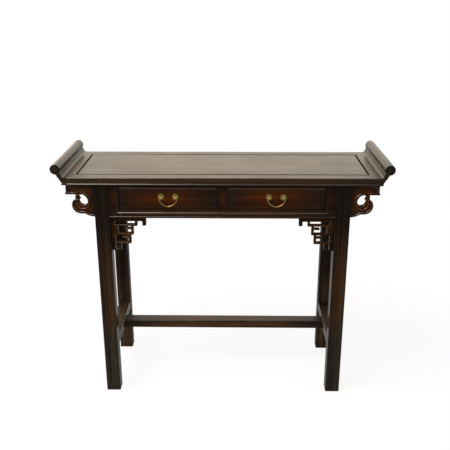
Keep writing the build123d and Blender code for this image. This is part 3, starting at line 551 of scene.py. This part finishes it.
def smooth_path(corners, count):
    """A natural cubic spline through the corners, read at count even places. Its bends m solve the three-term
    equations over the chord lengths h: h0 m0 + 2 (h0 + h1) m1 + h1 m2 = 6 (slope1 - slope0)."""
    corners = np.asarray(corners, float)
    reach = way_along(corners)
    chord = np.diff(reach)
    slope = np.diff(corners, axis=0) / chord[:, None]
    inner = np.arange(1, len(corners) - 1)
    system = np.eye(len(corners))
    system[inner, inner - 1] = chord[:-1]
    system[inner, inner] = 2 * (chord[:-1] + chord[1:])
    system[inner, inner + 1] = chord[1:]
    pull = np.zeros_like(corners)
    pull[1:-1] = 6 * np.diff(slope, axis=0)
    bend = np.linalg.solve(system, pull)
    at = np.linspace(0, reach[-1], count)
    span = np.clip(np.searchsorted(reach, at, side="right") - 1, 0, len(chord) - 1)
    width = chord[span, None]
    before = (at - reach[span])[:, None]
    after = width - before
    curve = (bend[span] * after ** 3 + bend[span + 1] * before ** 3) / (6 * width)
    curve += (corners[span] / width - bend[span] * width / 6) * after
    return curve + (corners[span + 1] / width - bend[span + 1] * width / 6) * before


def carved_bead(corners, face_y, half_width, proud, sunk, count=72, around=12):
    """A half-round bead on an upright face, along a smooth path through corners given as (x, z). Its section
    at angle a is (half_width cos a) across the path and (proud sin a) out of the face, or (sunk sin a) into
    it below. Both shrink to domed ends, within half_width of them."""
    path = smooth_path(corners, count)
    heading = heading_of(path)
    shrink = domed_ends(path, half_width)[:, None]
    angle = angles_round(around)
    across = shrink * half_width * np.cos(angle)
    out = shrink * np.where(np.sin(angle) > 0, proud, sunk) * np.sin(angle)
    x = path[:, :1] - heading[:, 1:] * across
    z = path[:, 1:] + heading[:, :1] * across
    return np.stack((x, face_y - out, z), axis=-1)


def bent_wire(path, radius, around=20):
    """A round wire along a path in an upright plane, with domed ends: rings square to the path, each with
    the radius given for its place."""
    heading = heading_of(path)
    side = np.stack((heading[:, 2], np.zeros(len(path)), -heading[:, 0]), axis=-1)
    angle = angles_round(around)
    ring = side[:, None, :] * np.cos(angle)[None, :, None]
    ring = ring + np.array((0.0, 1.0, 0.0)) * np.sin(angle)[None, :, None]
    return path[:, None, :] + (radius * domed_ends(path, radius))[:, None, None] * ring


def petal_plate(centre_x, rings=22, around=96):
    """A domed flower plate on the drawer front. With w = |cos(petals angle / 2)|, the outline is
    radius (1 - scallop (1 - w)). Its rings lie at s = t^0.8 of the way in, for even t from 0 at the rim
    to 1 at the middle. The height is rim + (dome - rim) (1 - (1 - s)^2.2), less a valley between petals
    of valley (1 - w)^2 sin(pi s)."""
    angle = angles_round(around)
    crown = np.abs(np.cos(petals * angle / 2))
    outline = plate_radius * (1 - petal_scallop * (1 - crown))
    s = np.linspace(0, 1, rings)[:, None] ** 0.8
    dome = plate_rim + (plate_dome - plate_rim) * (1 - (1 - s) ** 2.2)
    height = dome - petal_valley * (1 - crown) ** 2 * np.sin(math.pi * s)
    reach = np.concatenate((outline[None, :], outline * (1 - s)))
    height = np.concatenate((np.zeros((1, around)), height))
    x = centre_x + reach * np.cos(angle)
    z = pull_z + reach * np.sin(angle)
    return np.stack((x, drawer_face_y - height, z), axis=-1)


def ring_of_groove_shade(inner, outer, sheet_top_z, sheet_bottom_z, hollow):
    """A flat frame in the groove round the panel. Its section, from the inner to the outer half sizes, has a
    top that dips by hollow in the middle, and is carried round the four mitred corners."""
    share = np.array((0.0, 0.5, 1.0, 1.0, 0.0))
    z = np.array((sheet_top_z, sheet_top_z - hollow, sheet_top_z, sheet_bottom_z, sheet_bottom_z))
    half = np.array(inner) + share[:, None] * (np.array(outer) - np.array(inner))
    turns = np.array(((1, -1), (1, 1), (-1, 1), (-1, -1), (1, -1)))
    flat = turns[:, None, :] * half[None, :, :]
    levels = np.broadcast_to(z[None, :, None], (*flat.shape[:2], 1))
    return np.concatenate((flat, levels), axis=-1)


def link_piece(name, mesh, finish):
    """A smooth-shaded object of that mesh and finish, standing at the origin."""
    mesh.polygons.foreach_set("use_smooth", np.ones(len(mesh.polygons), bool))
    mesh.materials.append(finish)
    piece = bpy.data.objects.new(name, mesh)
    bpy.context.scene.collection.objects.link(piece)
    return piece


def new_piece(name, shapes, finish, mirror=(1.0, 1.0, 1.0)):
    """One object from several (points, groups of faces) shapes: doubles merged, then every normal turned
    outwards."""
    points = np.concatenate([shape_points for shape_points, groups in shapes]) * np.array(mirror)
    faces = []
    start = 0
    for shape_points, groups in shapes:
        for group in groups:
            faces += (group + start).tolist()
        start += len(shape_points)
    mesh = bpy.data.meshes.new(name)
    mesh.from_pydata(points.tolist(), [], faces)
    build = bmesh.new()
    build.from_mesh(mesh)
    bmesh.ops.remove_doubles(build, verts=build.verts, dist=merge_distance)
    bmesh.ops.recalc_face_normals(build, faces=build.faces)
    build.to_mesh(mesh)
    build.free()
    return link_piece(name, mesh, finish)


def eased_copy(node, name, finish, width):
    """A carved board as its CAD node has it, with its sawn arrises eased: triangles are merged into flat
    faces first, and a bevel of that width then rounds every arris."""
    build = bmesh.new()
    build.from_mesh(nodes[node].data)
    bmesh.ops.remove_doubles(build, verts=build.verts, dist=merge_distance)
    bmesh.ops.dissolve_limit(build, angle_limit=flat_angle, verts=build.verts, edges=build.edges)
    bmesh.ops.connect_verts_concave(build, faces=build.faces)
    bmesh.ops.recalc_face_normals(build, faces=build.faces)
    mesh = bpy.data.meshes.new(name)
    build.to_mesh(mesh)
    build.free()
    piece = link_piece(name, mesh, finish)
    bevel = piece.modifiers.new("eased_arrises", "BEVEL")
    bevel.width = width
    bevel.segments = easing_steps
    bevel.limit_method = "ANGLE"
    bevel.angle_limit = arris_angle
    bevel.harden_normals = True
    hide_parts(node)
    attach(piece, "frame")


# ---- A finish for every CAD node

wire_brass = aged_brass("brass_bail", 0.0075, 0.0105, (0.220, 0.144, 0.046))
ball_brass = aged_brass("brass_post", 0.0050, 0.0110, (0.450, 0.335, 0.112))
plate_brass = aged_brass("brass_plate", 0.0004, 0.0042, (0.168, 0.117, 0.033))


def brass_for(name):
    """The brass of one piece of a pull: its bail, its posts, or its plates and nuts."""
    if name.endswith("bail"):
        return wire_brass
    return ball_brass if name.endswith("posts") else plate_brass


def bare_grain(name):
    """The axis of the grain of a piece left bare, or None for a lacquered one."""
    in_drawer = name.startswith("drawer_")
    if name.startswith(("guide_", "runner_", "kicker_", "top_batten")):
        return "y"
    if in_drawer and name.endswith(("_side_left", "_side_right")):
        return "y"
    if name == "drawer_stops" or (in_drawer and name.endswith(("_back", "_bottom"))):
        return "x"
    return None


def finish_for(name, shift):
    """The finish of one CAD node."""
    if name.startswith("pull_"):
        return brass_for(name)
    grain = bare_grain(name)
    return bare_wood(name, grain, shift) if grain else lacquer_for(name, shift)


finishes = {name: finish_for(name, piece_shift * order) for order, name in enumerate(sorted(nodes))}
for name, piece in nodes.items():
    for seat in piece.material_slots:
        seat.material = finishes[name]


# ---- A dark sheet in the groove round the panel, as painted shade

groove_width = 0.003
groove_shade_spread = 0.0024            # up the chamfer on each side of the groove
groove_shade_sunk = 0.0006              # below the top
groove_shade_bottom = 0.0037
groove_shade_hollow = 0.0004

groove_shade_outer = np.array((end_rail_inner_x, front_rail_inner_y)) + groove_shade_spread
groove_shade_inner = groove_shade_outer - groove_width - 2 * groove_shade_spread
groove_shade_frame = ring_of_groove_shade(groove_shade_inner, groove_shade_outer, top_z - groove_shade_sunk, top_z - groove_shade_bottom, groove_shade_hollow)
# Painted shade: a near-black sheet laid in the groove round the panel.
groove_shade_sheet = new_piece("painted_groove_shade", [ring_net(groove_shade_frame, close_ends=False)], painted_groove_shade())
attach(groove_shade_sheet, "frame")


# ---- Carved frieze boards and key frets, front and rear

fret_easing = 0.0012
board_easing = 0.0010
bead_half_width = 0.0030
bead_proud = 0.0028
bead_sunk = 0.0008
ring_half_width = 0.0022

# The carving of the right front board, in mm out from the leg and down from the frieze's lower bead.
bead_line_z = under_top_z - 0.031
edge_bead = ((1, 75.5), (12, 74.5), (22, 71.5), (31, 65.2), (36, 63.8), (50, 64), (60, 59), (67, 50.5),
             (70.3, 40), (70.3, 31), (65.5, 23.5), (57, 20))
sweep_bead = ((33, -2.5), (24.6, 2.5), (18, 8), (14.7, 16), (13.7, 25), (14.3, 34), (19.3, 44.4),
              (27.5, 50.6), (38, 53.2), (47, 51.4), (53.8, 45.8), (57.3, 37.2), (57.5, 29.5))
eye_bead = ((24, 37), (28, 40.3), (36.3, 42.4), (44, 39.4), (47.5, 34))
upper_neck_ring = ((50, 5), (56, 5.2), (61.5, 5))
lower_neck_ring = ((50, 19), (56, 20.4), (62, 20))
carving = ((edge_bead, bead_half_width), (sweep_bead, bead_half_width), (eye_bead, ring_half_width),
           (upper_neck_ring, ring_half_width), (lower_neck_ring, ring_half_width))


def carved_line(corners, half_width):
    """One bead of the carving, on the right front board."""
    out, down = np.array(corners, float).T / 1000
    path = np.stack((leg_outer_x + out, bead_line_z - down), axis=-1)
    return ring_net(carved_bead(path, frieze_face_y, half_width, bead_proud, bead_sunk))


for side, mirror_x in (("right", 1.0), ("left", -1.0)):
    for end, mirror_y in (("front", 1.0), ("rear", -1.0)):
        corner = end + "_" + side
        fret = "fret_" + corner
        eased_copy(fret, "key_fret_" + corner, finishes[fret], fret_easing)
        board = "spandrel_" + corner
        eased_copy(board, "carved_board_" + corner, finishes[board], board_easing)
        lines = [carved_line(corners, half_width) for corners, half_width in carving]
        beads = new_piece("carved_beads_" + corner, lines, finishes[board], (mirror_x, mirror_y, 1.0))
        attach(beads, "frame")


# ---- Drawer pulls: petalled plates and bails that thicken to the middle

post_spread = 0.049
plate_radius = 0.0124
plate_rim = 0.0012
plate_dome = 0.0040
petals = 8
petal_scallop = 0.07           # share of the radius
petal_valley = 0.0009
pin_y = drawer_face_y - 0.009
pin_radius = 0.0014
pin_reach = 0.0229             # tip of a pin from the middle of the pull
arm_x = 0.0303
bail_drop = 0.0308
wire_radius = 0.0017
middle_radius = 0.0021
wire_rings = 120
pin_rings = 12

# One half of the bail, from its pin to its lowest point: shares of arm_x and of bail_drop.
bail_half = ((1.0, 0.0), (0.97, 0.27), (0.84, 0.54), (0.6, 0.78), (0.3, 0.94), (0.0, 1.0))


def upright_path(x, z):
    """A path in the plane of the pins, from its x and z."""
    return np.stack((x, np.full(len(x), pin_y), z), axis=-1)


def bail_wire(centre_x):
    """The bail's wire, with radius wire + (middle - wire) cos^2(pi p), where p is the place from the middle
    as a share of the whole length."""
    half = np.array(bail_half)
    shares = np.concatenate((half, half[-2::-1] * (-1.0, 1.0)))
    corners = np.stack((centre_x + arm_x * shares[:, 0], pull_z - bail_drop * shares[:, 1]), axis=-1)
    path = upright_path(*smooth_path(corners, wire_rings).T)
    travelled = way_along(path)
    swell = np.cos(math.pi * (travelled / travelled[-1] - 0.5)) ** 2
    return ring_net(bent_wire(path, wire_radius + (middle_radius - wire_radius) * swell))


def bail_pin(centre_x, sign):
    """The straight pin on which the bail turns in one post, on the side that sign gives."""
    x = centre_x + sign * np.linspace(pin_reach, arm_x, pin_rings)
    path = upright_path(x, np.full(pin_rings, pull_z))
    return ring_net(bent_wire(path, np.full(pin_rings, pin_radius)))


for side, centre_x in (("left", -pull_x), ("right", pull_x)):
    plates = [ring_net(petal_plate(centre_x + sign * post_spread / 2)) for sign in (-1, 1)]
    rosettes = new_piece("petal_plates_" + side, plates, plate_brass)
    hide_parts("pull_" + side + "_rosettes")
    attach(rosettes, "drawer_" + side)
    wires = [bail_wire(centre_x), bail_pin(centre_x, -1), bail_pin(centre_x, 1)]
    bail = new_piece("bail_wire_" + side, wires, wire_brass)
    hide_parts("pull_" + side + "_bail")
    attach(bail, "bail_" + side)


# ---- Floor, room and lamps

floor_half = 6.0
floor_grey = (0.86, 0.86, 0.86, 1.0)
shadow_band = (0.75, 1.5)      # metres from the middle, over which the floor goes white to the eye
shadow_white = 0.87            # how white it is within that
white = (1.0, 1.0, 1.0, 1.0)
room_strength = 0.36


def seen_directly(tree):
    """1 for camera, glossy and transmission rays, 0 for the light that falls on the table."""
    path = add(tree, "ShaderNodeLightPath")
    seen = reckon(tree, "MAXIMUM", path.outputs["Is Camera Ray"], path.outputs["Is Glossy Ray"])
    return reckon(tree, "MAXIMUM", seen, path.outputs["Is Transmission Ray"])


def floor_finish():
    """A plain pale floor that keeps the table's shadow near it, and is white to the eye further out."""
    material, tree, shader = new_material("pale_floor")
    shader.inputs["Base Color"].default_value = floor_grey
    shader.inputs["Roughness"].default_value = 0.9
    shader.inputs["IOR"].default_value = 1.1
    glow = add(tree, "ShaderNodeEmission")
    glow.inputs["Strength"].default_value = 1.0
    place = add(tree, "ShaderNodeTexCoord").outputs["Object"]
    from_middle = reckon_vector(tree, "LENGTH", place)
    whiteness = stretch(tree, from_middle, *shadow_band, shadow_white, 1.0, "SMOOTHSTEP")
    share = reckon(tree, "MULTIPLY", seen_directly(tree), whiteness)
    blend_shaders(tree, share, shader, glow, tree.nodes["Material Output"])
    return material


def lay_floor():
    """A square of floor with the table on its middle."""
    corners = [(x * floor_half, y * floor_half, 0.0) for x, y in ((-1, -1), (1, -1), (1, 1), (-1, 1))]
    mesh = bpy.data.meshes.new("floor")
    mesh.from_pydata(corners, [], [(0, 1, 2, 3)])
    mesh.materials.append(floor_finish())
    floor = bpy.data.objects.new("floor", mesh)
    bpy.context.scene.collection.objects.link(floor)


def white_background(tree, strength):
    """One white shader of the room."""
    node = add(tree, "ShaderNodeBackground")
    node.inputs["Color"].default_value = white
    node.inputs["Strength"].default_value = strength
    return node


def white_room():
    """White to the eye and in reflections, and a softer even light on the table."""
    world = bpy.data.worlds.new("white_room")
    world.use_nodes = True
    tree = world.node_tree
    tree.nodes.clear()
    room_light = white_background(tree, room_strength)
    room_seen = white_background(tree, 1.0)
    blend_shaders(tree, seen_directly(tree), room_light, room_seen, add(tree, "ShaderNodeOutputWorld"))
    bpy.context.scene.world = world


def soft_lamp(name, place, target, width, height, brightness, colour=(1.0, 0.94, 0.86)):
    """A flat soft lamp. Its power is four times its area times the brightness of its face."""
    lamp = bpy.data.lights.new(name, "AREA")
    lamp.shape = "RECTANGLE"
    lamp.size = width
    lamp.size_y = height
    lamp.energy = 4.0 * width * height * brightness
    lamp.color = colour
    holder = bpy.data.objects.new(name, lamp)
    holder.location = place
    aim = Vector(target) - Vector(place)
    holder.rotation_euler = aim.to_track_quat("-Z", "Y").to_euler()
    holder.visible_camera = False
    bpy.context.scene.collection.objects.link(holder)


lay_floor()
white_room()
soft_lamp("back_light", (-1.1, 3.6, 2.2), (-0.5, 0.0, 0.9), 6.2, 3.4, 1.85, (1.0, 0.92, 0.72))
soft_lamp("top_light", (-1.2, -0.9, 3.0), (0.0, 0.0, 0.7), 2.0, 1.6, 9.5, (1.0, 0.89, 0.74))
soft_lamp("left_light", (-2.6, -2.6, 2.2), (0.0, 0.0, 0.5), 1.8, 1.8, 0.9)
soft_lamp("right_light", (2.8, -2.2, 2.0), (0.0, 0.0, 0.5), 1.4, 1.4, 0.7)
